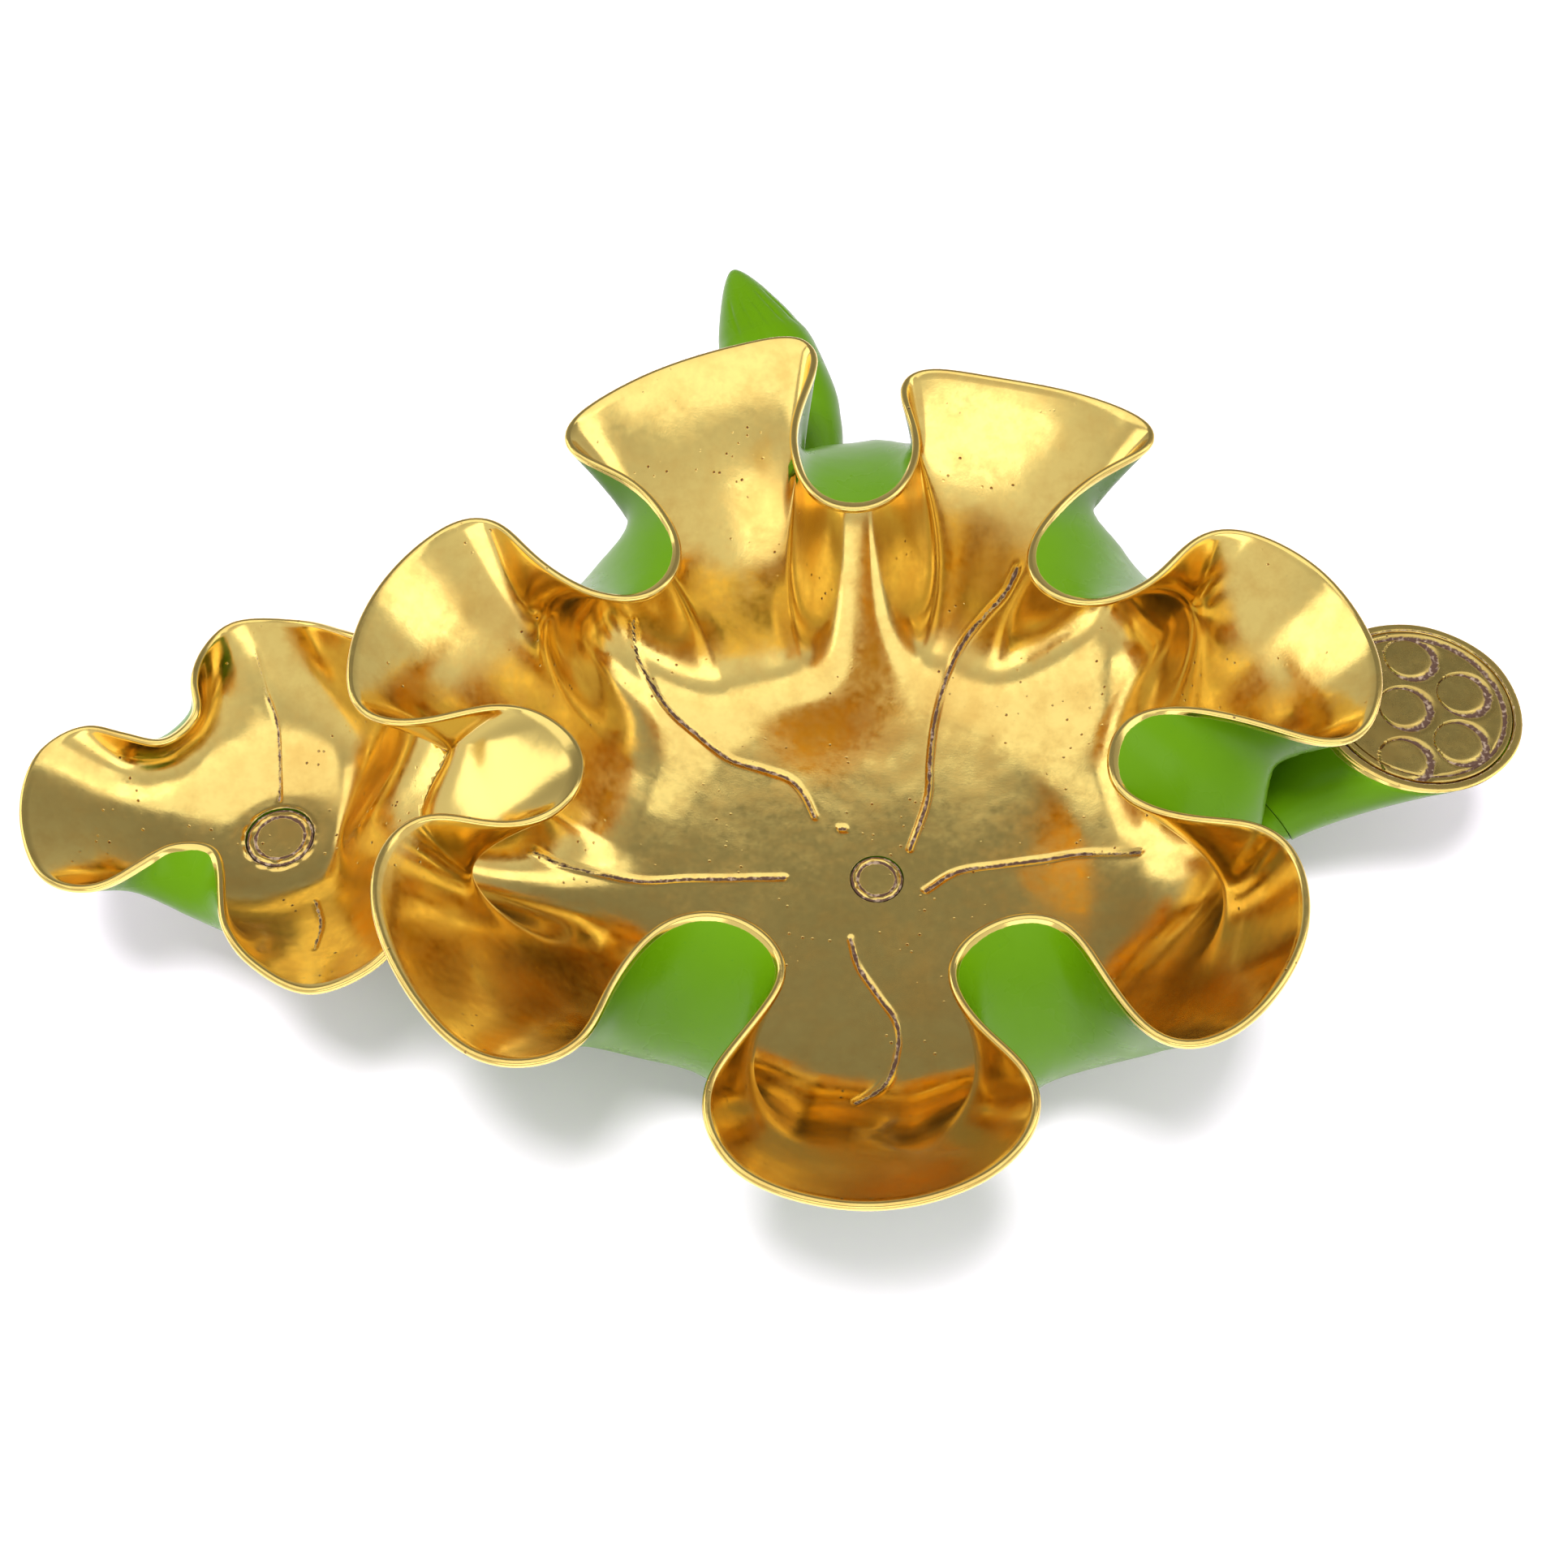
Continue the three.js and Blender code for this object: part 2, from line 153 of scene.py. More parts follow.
def catmull_rom(points, per_span, closed=False):
    """Samples of the centripetal Catmull-Rom curve through the points."""
    p = np.array(points, float)
    if closed:
        p = np.vstack([p[-1:], p, p[:2]])
    else:
        p = np.vstack([2 * p[0] - p[1], p, 2 * p[-1] - p[-2]])
    samples = []
    for p0, p1, p2, p3 in zip(p[:-3], p[1:-2], p[2:-1], p[3:]):
        before, span, after = (math.sqrt(np.linalg.norm(b - a)) for a, b in ((p0, p1), (p1, p2), (p2, p3)))
        leave = ((p1 - p0) / before - (p2 - p0) / (before + span) + (p2 - p1) / span) * span
        arrive = ((p2 - p1) / span - (p3 - p1) / (span + after) + (p3 - p2) / after) * span
        t = np.linspace(0, 1, per_span, endpoint=False)[:, None]
        samples.append(p1 + leave * t + (3 * (p2 - p1) - 2 * leave - arrive) * t**2
                       + (2 * (p1 - p2) + leave + arrive) * t**3)
    return np.vstack(samples + [p[-2:-1]])


def blur_closed(values, share):
    """Gaussian blur of a closed run, with a width given as a share of the run."""
    count = len(values)
    offset = np.minimum(np.arange(count), count - np.arange(count))
    kernel = np.exp(-0.5 * (offset / (share * count)) ** 2)
    spectrum = np.fft.fft(values, axis=0) * np.fft.fft(kernel / kernel.sum())[:, None]
    return np.real(np.fft.ifft(spectrum, axis=0))


def leaf_face(rim, count, hole, floor_radius, dish, shoulder, belly_radius, belly_height,
              floor_rings, wall_rings):
    """A leaf's inside face: rings of points from the pin hole over the floor and up the wall."""
    fine = catmull_rom(rim, 40, closed=True)
    travelled = np.concatenate([[0], np.cumsum(np.linalg.norm(np.diff(fine, axis=0), axis=1))])
    even = np.linspace(0, travelled[-1], count, endpoint=False)
    edge = blur_closed(np.stack([np.interp(even, travelled, fine[:, k]) for k in range(3)], axis=1), 0.004)
    rounded = blur_closed(edge, 0.055)
    angle = np.arctan2(rounded[:, 1], rounded[:, 0])

    def ring(radius, z):
        return np.stack([radius * np.cos(angle), radius * np.sin(angle), np.full(count, z)], axis=1)

    rings = [ring(r, dish * r * r) for r in np.linspace(hole, floor_radius, floor_rings)]
    floor_edge = dish * floor_radius**2
    foot_ring = ring(floor_radius, floor_edge)
    out = ring(floor_radius + shoulder, floor_edge + 2 * dish * floor_radius * shoulder)
    belly = ring(belly_radius(angle, np.hypot(edge[:, 0], edge[:, 1])), belly_height)
    # The pull is the one that takes the wall's cubic through the belly ring at s = 0.6.
    pull = (belly - 0.064 * foot_ring - 0.288 * out - 0.216 * edge) / 0.432
    for s in np.linspace(0, 1, wall_rings + 1)[1:]:
        r = 1 - s
        rings.append(r**3 * foot_ring + 3 * r * r * s * out + 3 * r * s * s * pull + s**3 * edge)
    return np.array(rings)


def face_normals(rings):
    """Unit normals of a face, and unit directions from ring to ring."""
    along = np.gradient(rings, axis=0)
    normal = np.cross(along, np.roll(rings, -1, axis=1) - np.roll(rings, 1, axis=1))
    return (normal / np.linalg.norm(normal, axis=2, keepdims=True),
            along / np.linalg.norm(along, axis=2, keepdims=True))


def waves(points, size, seed):
    """A smooth field of about -1 to 1 at the points, with bumps of about the given size."""
    shifted = (Vector(p / size) + Vector((seed, 0, 0)) for p in points.reshape(-1, 3))
    return np.array([noise.noise(v) for v in shifted]).reshape(points.shape[:-1])


def distance_to_lines(points, lines):
    """Distance from each point to the nearest of the curves, with heights counted less than plan offsets."""
    squash = np.array((1, 1, 0.35))
    points = points * squash
    nearest = np.full(len(points), 99.0)
    for line in lines:
        curve = catmull_rom(line, 6) * squash
        for a, b in zip(curve[:-1], curve[1:]):
            share = np.clip((points - a) @ (b - a) / ((b - a) @ (b - a)), 0, 1)
            offset = points - a - share[:, None] * (b - a)
            nearest = np.minimum(nearest, np.linalg.norm(offset, axis=1))
    return nearest


def skin(name, loops, materials, material_rows=None, ring_closed=False):
    """A closed mesh through equal loops of points: joined into a ring, or with its two ends filled."""
    rows, count = loops.shape[:2]
    index = np.arange(rows * count).reshape(rows, count)
    beside = np.roll(index, -1, axis=1)
    quads = np.stack([index, np.roll(index, -1, axis=0), np.roll(beside, -1, axis=0), beside],
                     axis=-1)
    points = loops.reshape(-1, 3)
    faces = (quads if ring_closed else quads[:-1]).reshape(-1, 4).tolist()
    if not ring_closed:
        points = np.vstack([points, loops[0].mean(axis=0), loops[-1].mean(axis=0)])
        faces += [[rows * count, int(a), int(b)] for a, b in zip(index[0], beside[0])]
        faces += [[rows * count + 1, int(b), int(a)] for a, b in zip(index[-1], beside[-1])]
    mesh = bpy.data.meshes.new(name)
    mesh.from_pydata((points * mm).tolist(), [], faces)
    for material in materials:
        mesh.materials.append(material)
    if material_rows is not None:
        face_rows = np.repeat(material_rows[:rows if ring_closed else rows - 1], count)
        ends = [] if ring_closed else [material_rows[0]] * count + [material_rows[-1]] * count
        mesh.polygons.foreach_set("material_index", np.concatenate([face_rows, ends]).astype(int))
    mesh.polygons.foreach_set("use_smooth", np.ones(len(mesh.polygons), bool))
    mesh.set_sharp_from_angle(angle=math.radians(50))
    return mesh


def leaf_shell(name, upper, wall_lift, sparse, materials):
    """Closes a leaf's face with a lower face, a rounded edge and a straight pin hole."""
    normal, along = face_normals(upper)
    rows = np.unique(np.r_[0:len(upper) - 5:sparse, len(upper) - 5:len(upper)])
    lower = (upper - wall * normal)[rows]
    upper = upper + wall_lift[:, :, None] * normal
    middle = (upper[-1] + lower[-1]) / 2
    half = np.linalg.norm(upper[-1] - lower[-1], axis=1)[:, None] / 2
    edge = [middle + half * (math.cos(a) * normal[-1] + math.sin(a) * along[-1])
            for a in np.linspace(0, math.pi, 7)[1:-1]]
    loops = np.concatenate([upper, edge, lower[::-1]])
    material_rows = (np.arange(len(loops)) >= len(upper) + 3).astype(int)
    return skin(name, loops, materials, material_rows, ring_closed=True), middle


def mesh_points(mesh):
    points = np.empty(3 * len(mesh.vertices))
    mesh.vertices.foreach_get("co", points)
    return points.reshape(-1, 3) / mm


def add_field(mesh, name, values):
    stored = mesh.attributes.new(name, "FLOAT", "POINT")
    stored.data.foreach_set("value", np.asarray(values, np.float32))


def add_groove(mesh, distance):
    """Stores the distance to the nearest cut line, as 1 at 4 mm and beyond."""
    add_field(mesh, "groove", np.clip(distance / 4, 0, 1))


def closeness(points, line, near, far):
    """1 within the near distance of the line's points, falling to 0 at the far distance."""
    tree = kdtree.KDTree(len(line))
    for i, p in enumerate(line):
        tree.insert(Vector(p), i)
    tree.balance()
    gap = np.array([tree.find(Vector(p))[2] for p in points])
    return np.clip((far - gap) / (far - near), 0, 1)


def settle(piece_name, mesh, node):
    """Stands a finished piece in for its part of the frame."""
    piece = bpy.data.objects.new(piece_name, mesh)
    scene.collection.objects.link(piece)
    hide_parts(node)
    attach(piece, "root")
    return piece


def new_material(name):
    material = bpy.data.materials.new(name)
    material.use_nodes = True
    return material, material.node_tree, material.node_tree.nodes["Principled BSDF"]


def grey(value):
    return (value, value, value, 1)


def field(tree, scale, detail=3, roughness=0.5, kind="ShaderNodeTexNoise", output="Fac"):
    """Cloudy noise or cells fixed to the piece, with a scale per metre."""
    node = tree.nodes.new(kind)
    tree.links.new(tree.nodes.new("ShaderNodeTexCoord").outputs["Object"], node.inputs["Vector"])
    node.inputs["Scale"].default_value = scale
    if kind == "ShaderNodeTexNoise":
        node.inputs["Detail"].default_value = detail
        node.inputs["Roughness"].default_value = roughness
    return node.outputs[output]


def ramp(tree, source, low, high, first, last):
    node = tree.nodes.new("ShaderNodeValToRGB")
    for element, position, colour in zip(node.color_ramp.elements, (low, high), (first, last)):
        element.position = position
        element.color = colour if isinstance(colour, tuple) else grey(colour)
    tree.links.new(source, node.inputs["Fac"])
    return node.outputs["Color"]


def mix(tree, factor, first, second, mode="MIX"):
    node = tree.nodes.new("ShaderNodeMix")
    node.data_type = "RGBA"
    node.blend_type = mode
    factor_and_colours = (node.inputs[0], node.inputs[6], node.inputs[7])
    for socket, value in zip(factor_and_colours, (factor, first, second)):
        if isinstance(value, bpy.types.NodeSocket):
            tree.links.new(value, socket)
        else:
            plain = isinstance(value, tuple) or socket.type == "VALUE"
            socket.default_value = value if plain else grey(value)
    return node.outputs[2]


def ragged_mask(tree, name, spread, low, high, first, last, scale=600):
    """A mask from a field stored on the piece, with its edge roughened by noise."""
    stored = tree.nodes.new("ShaderNodeAttribute")
    stored.attribute_name = name
    sum_node = tree.nodes.new("ShaderNodeMath")
    sum_node.operation = "MULTIPLY_ADD"
    tree.links.new(field(tree, scale, 4, 0.7), sum_node.inputs[0])
    sum_node.inputs[1].default_value = spread
    tree.links.new(stored.outputs["Fac"], sum_node.inputs[2])
    return ramp(tree, sum_node.outputs[0], low, high, first, last)


def emboss(tree, shader, layers):
    """Stacks bumps, each given as a height source, a strength and a distance in metres."""
    last = None
    for source, strength, distance in layers:
        bump = tree.nodes.new("ShaderNodeBump")
        bump.invert = strength < 0
        bump.inputs["Strength"].default_value = abs(strength)
        bump.inputs["Distance"].default_value = distance
        tree.links.new(source, bump.inputs["Height"])
        if last:
            tree.links.new(last, bump.inputs["Normal"])
        last = bump.outputs["Normal"]
    tree.links.new(last, shader.inputs["Normal"])


def polished_brass(name, tone, gloss):
    """Buffed brass: pitted, finely grained, warmer where tarnished, crusted in its cuts."""
    material, tree, shader = new_material(name)
    tarnish = ramp(tree, field(tree, 17, 6, 0.62), 0.55, 0.70, 0.0, 0.6)
    cells = field(tree, 300, kind="ShaderNodeTexVoronoi", output="Distance")
    pits = mix(tree, 1.0, ramp(tree, cells, 0.06, 0.14, 1.0, 0.0),
               ramp(tree, field(tree, 60, 2), 0.54, 0.62, 0.0, 1.0), "MULTIPLY")
    cut = ragged_mask(tree, "groove", 0.34, 0.30, 0.37, 1.0, 0.0, scale=420)
    warm = (tone[0] * 0.80, tone[1] * 0.64, tone[2] * 0.5, 1)
    mottle = ramp(tree, field(tree, 130, 6, 0.68), 0.42, 0.70, 0.0, 0.45)
    colour = mix(tree, mottle, mix(tree, tarnish, tone, warm), warm)
    colour = mix(tree, pits, colour, (0.22, 0.11, 0.05, 1))
    crust = ramp(tree, field(tree, 700, 2), 0.52, 0.66,
                 (0.09, 0.045, 0.03, 1), (0.36, 0.26, 0.19, 1))
    colour = mix(tree, cut, colour, crust)
    tree.links.new(colour, shader.inputs["Base Color"])
    tree.links.new(mix(tree, cut, 1.0, 0.25), shader.inputs["Metallic"])
    rough = ramp(tree, field(tree, 420, 3, 0.6), 0.3, 0.75, gloss, gloss + 0.09)
    rough = mix(tree, mottle, mix(tree, tarnish, rough, gloss + 0.2), gloss + 0.22)
    tree.links.new(mix(tree, cut, rough, 0.65), shader.inputs["Roughness"])
    emboss(tree, shader, (
        (field(tree, 36, 3), 0.25, 0.0009), (field(tree, 150, 3), 0.2, 0.0001),
        (field(tree, 1500, 2), 0.12, 0.00005), (pits, -0.5, 0.0003)))
    return material


def green_lacquer(name, brass_tone):
    """Sprayed lacquer: a thin, slightly uneven coat, and brass where the bare field says."""
    material, tree, shader = new_material(name)
    rubbed = ragged_mask(tree, "bare", 0.35, 0.62, 0.70, 0.0, 1.0, scale=260)
    coat = ramp(tree, field(tree, 18, 4), 0.3, 0.72,
                (0.080, 0.190, 0.0012, 1), (0.097, 0.228, 0.002, 1))
    specks = ramp(tree, field(tree, 900, 2), 0.68, 0.74, 0.0, 0.35)
    coat = mix(tree, specks, coat, (0.05, 0.16, 0.01, 1))
    tree.links.new(mix(tree, rubbed, coat, brass_tone), shader.inputs["Base Color"])
    tree.links.new(rubbed, shader.inputs["Metallic"])
    gloss = ramp(tree, field(tree, 60, 3), 0.3, 0.7, 0.24, 0.34)
    tree.links.new(mix(tree, rubbed, gloss, 0.16), shader.inputs["Roughness"])
    shader.inputs["Specular IOR Level"].default_value = 0.13
    emboss(tree, shader, (
        (field(tree, 40, 3), 0.4, 0.0007), (field(tree, 700, 2), 0.15, 0.00005)))
    return material


brass_tone = (0.88, 0.655, 0.20, 1)
brass = polished_brass("polished_brass", brass_tone, 0.10)
lacquer = green_lacquer("green_lacquer", brass_tone)


def large_belly(angle, reach):
    towards_small_leaf = np.maximum(0, -np.cos(angle - 0.1)) ** 14
    towards_corner = np.maximum(0, np.sin(angle)) * np.abs(np.cos(angle))
    at_fold = 103 + 20 * np.sin(angle) - 2 * np.cos(angle)
    at_fold = at_fold - 18 * towards_corner + 23 * towards_small_leaf
    at_lobe = 93 - 3 * np.sin(angle) + 9 * np.maximum(0, -np.cos(angle)) ** 2
    share = np.clip((reach - 70) / 55, 0, 1)
    return at_fold + (at_lobe - at_fold) * share * share * (3 - 2 * share)


# Five veins run out from the rivet over the floor, and the last cut is a single dot.
large_veins = [
    [(-72, 71, 42), (-71, 65, 34), (-67, 59, 28), (-61, 52, 23), (-53, 46, 19),
     (-43, 39, 16), (-33, 36, 15), (-25, 33, 14), (-21, 28, 13), (-18, 21, 13)],
    [(42, 82, 53), (39, 79, 46), (34, 77, 39), (28, 74, 29), (23, 67, 21),
     (19, 54, 16), (17, 40, 14), (16, 28, 13), (10, 10, 12)],
    [(-97, -3, 33), (-90, -4, 28), (-80, -4, 23), (-68, -4, 18), (-56, -2, 16),
     (-42, -1, 14), (-27, 0, 13)],
    [(14, -4, 12), (23, 2, 13), (36, 4, 14), (48, 5, 15), (60, 6, 17), (75, 3, 23)],
    [(-8, -20, 13), (-6, -29, 13), (-1, -38, 14), (4, -47, 15), (4, -56, 16),
     (0, -67, 18), (-8, -74, 23)],
    [(-10.5, 17, 12), (-9, 17, 12)],
]

upper = leaf_face(large_rim, 840, large_pin_radius + pin_gap, floor_radius, floor_dish, 30,
                  large_belly, 38, floor_rings=88, wall_rings=96)
upper[:, :, 2] += leaf_floor
normal = face_normals(upper)[0]
upper += normal * (0.45 * waves(upper, 34, 3) + 0.05 * waves(upper, 9, 7))[:, :, None]
to_vein = distance_to_lines(upper.reshape(-1, 3), large_veins).reshape(upper.shape[:2])
vein_depth, vein_half_width = 0.55, 0.8
large_mesh, large_edge = leaf_shell(
    "large_leaf_shell", upper, -vein_depth * np.exp(-(to_vein / vein_half_width) ** 2), 3,
    [brass, lacquer])
points = mesh_points(large_mesh)
groove = np.full(len(points), 9.0)
groove[:to_vein.size] = to_vein.ravel() + 0.15
ring_gap = 1.2 * np.abs(np.hypot(points[:, 0], points[:, 1]) - large_pin_radius)
add_groove(large_mesh, np.minimum(groove, ring_gap + 0.3))
# The lacquer stops short of the fold that the small leaf's neck grips, and the edges are bare.
neck = np.exp(-(((points[:, 1] + 11) / 27) ** 4)) * np.clip((-62 - points[:, 0]) / 10, 0, 1)
neck *= np.clip((points[:, 2] - 56) / 6, 0, 1)
add_field(large_mesh, "bare", np.maximum(neck, closeness(points, large_edge, 1.2, 2.0)))
settle("large_leaf_shell", large_mesh, "large_leaf")

# ------------------------------------------------------------------------------------------------
# Large pin: a brass rivet that holds the large leaf to its foot. Its flat head is hammered flush
# with the leaf's floor, which leaves a rough crust around its edge where dirt and old wax have
# settled.
# ------------------------------------------------------------------------------------------------


def rounded(outline, radius):
    """An outline with each of its inner corners cut back to a small curve."""
    outline = np.array(outline, float)
    result = [outline[0]]
    for before, corner, after in zip(outline[:-2], outline[1:-1], outline[2:]):
        back, on = before - corner, after - corner
        cut = min(radius, 0.45 * np.linalg.norm(back), 0.45 * np.linalg.norm(on))
        start = corner + back / np.linalg.norm(back) * cut
        end = corner + on / np.linalg.norm(on) * cut
        result += [(1 - t) ** 2 * start + 2 * t * (1 - t) * corner + t * t * end
                   for t in (0, 0.33, 0.67, 1)]
    return np.array(result + [outline[-1]])


def turned(name, outline, centre, material, sides=96):
    """A turned piece from an outline of radius and height, starting below and ending above."""
    turn = np.arange(sides) * 2 * math.pi / sides
    loops = np.array([np.stack([r * np.cos(turn), r * np.sin(turn), np.full(sides, z)], axis=1)
                      for r, z in outline])
    return skin(name, loops + np.array(centre), [material])


shank_radius = 4
core_radius = 0.1


def rivet(name, head_radius, underside, floor, end, centre, node):
    """A flush rivet: its shank, and a flat head with a lumpy ring near its edge."""
    outline = rounded([(core_radius, end), (shank_radius, end), (shank_radius, underside),
                       (head_radius, underside), (head_radius, floor - 0.05),
                       (0.97 * head_radius, floor)], 0.3)
    top = [(share * head_radius, floor) for share in np.linspace(0.95, 0.6, 16)]
    top.append((core_radius, floor))
    mesh = turned(name, np.vstack([outline, top]), centre, brass, 160)
    points = mesh_points(mesh)
    share = np.hypot(points[:, 0] - centre[0], points[:, 1] - centre[1]) / head_radius
    on_top = points[:, 2] > floor - 0.2
    crust = np.exp(-((share - 0.86) / 0.08) ** 2) * (0.7 + waves(points, 2.2, 11)) * on_top
    points[:, 2] += 0.35 * crust
    mesh.vertices.foreach_set("co", (points * mm).ravel())
    mesh.update()
    from_ring = np.minimum(np.abs(share - 0.74), 1.2 * np.abs(share - 0.97))
    add_groove(mesh, 0.2 + head_radius * from_ring)
    settle(name, mesh, node)


rivet("large_rivet", large_pin_radius, leaf_floor - wall, leaf_floor, 3, (0, 0, 0), "large_pin")

# ------------------------------------------------------------------------------------------------
# Foot: a wide turned pad of cast brass under the large leaf, left as it came off the lathe and
# browned with age. The leaf sits in its dished top and the rivet goes down into its blind hole.
# ------------------------------------------------------------------------------------------------


def cast_brass(name):
    """Brass left dull from the mould: grainy, browned in patches."""
    material, tree, shader = new_material(name)
    browned = ramp(tree, field(tree, 30, 6, 0.65), 0.4, 0.7, 0.0, 1.0)
    colour = mix(tree, browned, (0.55, 0.37, 0.12, 1), (0.30, 0.17, 0.06, 1))
    tree.links.new(colour, shader.inputs["Base Color"])
    shader.inputs["Metallic"].default_value = 1.0
    rough = ramp(tree, field(tree, 500, 3), 0.3, 0.7, 0.32, 0.5)
    tree.links.new(rough, shader.inputs["Roughness"])
    emboss(tree, shader, (
        (field(tree, 900, 4, 0.6), 0.35, 0.0002), (field(tree, 90, 3), 0.3, 0.0004)))
    return material


dull_brass = cast_brass("cast_brass")
foot_radius = 46
joint_gap = 0.3
bore_radius = shank_radius + joint_gap
bore_floor = 2.7


def foot_top(radius):
    return leaf_floor + floor_dish * radius * radius - wall - joint_gap


foot_outline = rounded(
    [(core_radius, 0), (foot_radius - 1, 0), (foot_radius, 1), (foot_radius, foot_top(foot_radius)),
     (31, foot_top(31)), (16, foot_top(16)), (bore_radius, foot_top(0)), (bore_radius, bore_floor),
     (core_radius, bore_floor)], 0.5)
settle("turned_foot", turned("turned_foot", foot_outline, (0, 0, 0), dull_brass, 160), "foot")

# ------------------------------------------------------------------------------------------------
# Small leaf: a second cast leaf, higher than the large one and brazed by its neck to the outside
# of the large leaf's wall. It is finished like the large leaf: buffed inside, green outside, with
# two short cut veins.
# ------------------------------------------------------------------------------------------------
small_leaf_centre = (-165, -6, 45)
small_pin_radius = 9
small_rim = [
    (37, 33, 40), (23, 38, 39), (5, 50, 30), (-15, 52, 27), (-20, 44, 27), (-21, 34, 27),
    (-19, 23, 25), (-27, 14, 24),
    (-39, 15, 26), (-49, 17, 27), (-58, 10, 27), (-59, -7, 27), (-49, -27, 27), (-37, -30, 27),
    (-20, -18, 25), (-8, -19, 24),
    (0, -42, 27), (7, -51, 27), (22, -59, 27), (37, -54, 30), (46, -44, 34),
    (57, -28, 34), (60, -13, 34), (58, 2, 34), (49, 18, 37),
]
small_veins = [
    [(-174, 41, 66), (-172, 34, 60), (-169, 27, 53), (-168, 18, 49), (-167, 6, 45)],
    [(-151, -29, 50), (-147, -39, 56), (-146, -49, 62)],
]


def trimmed(mesh, cutter_mesh):
    """The largest body that is left of a closed mesh when another is cut away from it."""
    target = bpy.data.objects.new("trim_target", mesh)
    cutter = bpy.data.objects.new("trim_cutter", cutter_mesh)
    for item in (target, cutter):
        scene.collection.objects.link(item)
    cut = target.modifiers.new("cut", "BOOLEAN")
    cut.object = cutter
    cut.operation = "DIFFERENCE"
    cut.solver = "MANIFOLD"
    trimmed_target = target.evaluated_get(bpy.context.evaluated_depsgraph_get())
    result = bpy.data.meshes.new_from_object(trimmed_target)
    for item in (target, cutter):
        bpy.data.objects.remove(item)
    work = bmesh.new()
    work.from_mesh(result)
    bodies, seen = [], set()
    for start in work.verts:
        if start in seen:
            continue
        body, queue = [], [start]
        seen.add(start)
        while queue:
            vert = queue.pop()
            body.append(vert)
            for edge in vert.link_edges:
                other = edge.other_vert(vert)
                if other not in seen:
                    seen.add(other)
                    queue.append(other)
        bodies.append(body)
    bodies.sort(key=len)
    bmesh.ops.delete(work, geom=[v for body in bodies[:-1] for v in body], context="VERTS")
    work.to_mesh(result)
    work.free()
    return result


def small_belly(angle, reach):
    return 30 + 0.12 * reach - 11 * np.maximum(0, np.cos(angle)) ** 6


small_upper = leaf_face(small_rim, 520, small_pin_radius + pin_gap, 13, 0.002, 10,
                        small_belly, 11, floor_rings=10, wall_rings=64)
small_upper += np.array(small_leaf_centre)
normal = face_normals(small_upper)[0]
small_upper += normal * (0.30 * waves(small_upper, 24, 5)
                         + 0.05 * waves(small_upper, 8, 9))[:, :, None]
to_vein = distance_to_lines(small_upper.reshape(-1, 3), small_veins).reshape(small_upper.shape[:2])
small_vein_depth, small_vein_half_width = 0.30, 0.7


def from_small_pin(points):
    """How far points lie outside the small rivet's edge, in plan."""
    x, y = small_leaf_centre[:2]
    return np.hypot(points[..., 0] - x, points[..., 1] - y) - small_pin_radius


burr = 0.35 * np.exp(-((from_small_pin(small_upper) - 0.7) / 0.5) ** 2)
burr *= 0.6 + waves(small_upper, 2.5, 11)
small_shell, small_edge = leaf_shell(
    "small_leaf_shell", small_upper,
    burr - small_vein_depth * np.exp(-(to_vein / small_vein_half_width) ** 2), 3, [brass, lacquer])

# The small leaf is cut along the outside of the large one, so that its neck fits the fold's wall.
normal = face_normals(upper)[0]
room_for_joint = 0.1
cutter_face = (upper + room_for_joint * normal)[::2, ::2]
cutter_back = (upper - (wall + room_for_joint) * normal)[::2, ::2]
cutter_mesh = skin("joint_cutter", np.concatenate([cutter_face, cutter_back[::-1]]), [brass],
                   ring_closed=True)
small_mesh = trimmed(small_shell, cutter_mesh)
points = mesh_points(small_mesh)
ring_gap = 0.3 + 1.2 * np.abs(from_small_pin(points) - 0.2)

# Brazing leaves a dark crust along the joint, at a spot on either side of the fold.
large_back = (upper - wall * normal)[::2, ::2].reshape(-1, 3)
from_joint = 1.8 * (1 - closeness(points, large_back, 0, 3))
near_spots = np.maximum(closeness(points, [(-139, 28, 84)], 9, 14),
                        closeness(points, [(-128, -38, 78)], 9, 14))
braze = from_joint + 9 * (1 - near_spots)
veins = distance_to_lines(points, small_veins) + 0.35
add_groove(small_mesh, np.minimum(np.minimum(veins, ring_gap), braze))
add_field(small_mesh, "bare", closeness(points, small_edge, 1.2, 2.0))
settle("small_leaf_shell", small_mesh, "small_leaf")

# ------------------------------------------------------------------------------------------------
# Small pin and small foot: the small leaf's rivet goes down into a turned brass pillar with a
# spreading base, which carries the leaf at its own height above the table.
# ------------------------------------------------------------------------------------------------
small_underside = small_leaf_centre[2] - wall
shank_length = 25.3
small_foot_centre = (small_leaf_centre[0], small_leaf_centre[1], 0)
rivet("small_rivet", small_pin_radius, small_underside, small_leaf_centre[2],
      small_underside - shank_length, small_foot_centre, "small_pin")
pillar_top = small_underside - joint_gap
pillar_outline = rounded(
    [(core_radius, 0), (17, 0), (18, 1), (18, 3.5), (12, 6.5), (8.5, 13), (8, 22), (9.5, 32),
     (12.5, pillar_top), (bore_radius, pillar_top), (bore_radius, pillar_top - shank_length),
     (core_radius, pillar_top - shank_length)], 1.2)
pillar_mesh = turned("turned_pillar", pillar_outline, small_foot_centre, dull_brass)
settle("turned_pillar", pillar_mesh, "small_foot")

# ------------------------------------------------------------------------------------------------
# Tie rod and stalks: round brass rods bent by hand. The tie rod joins the two feet under the
# leaves. The stalks leave the large foot the same way, swell where they meet the pod and the bud,
# and are lacquered green with them.
# ------------------------------------------------------------------------------------------------
rod_radius = 4.5


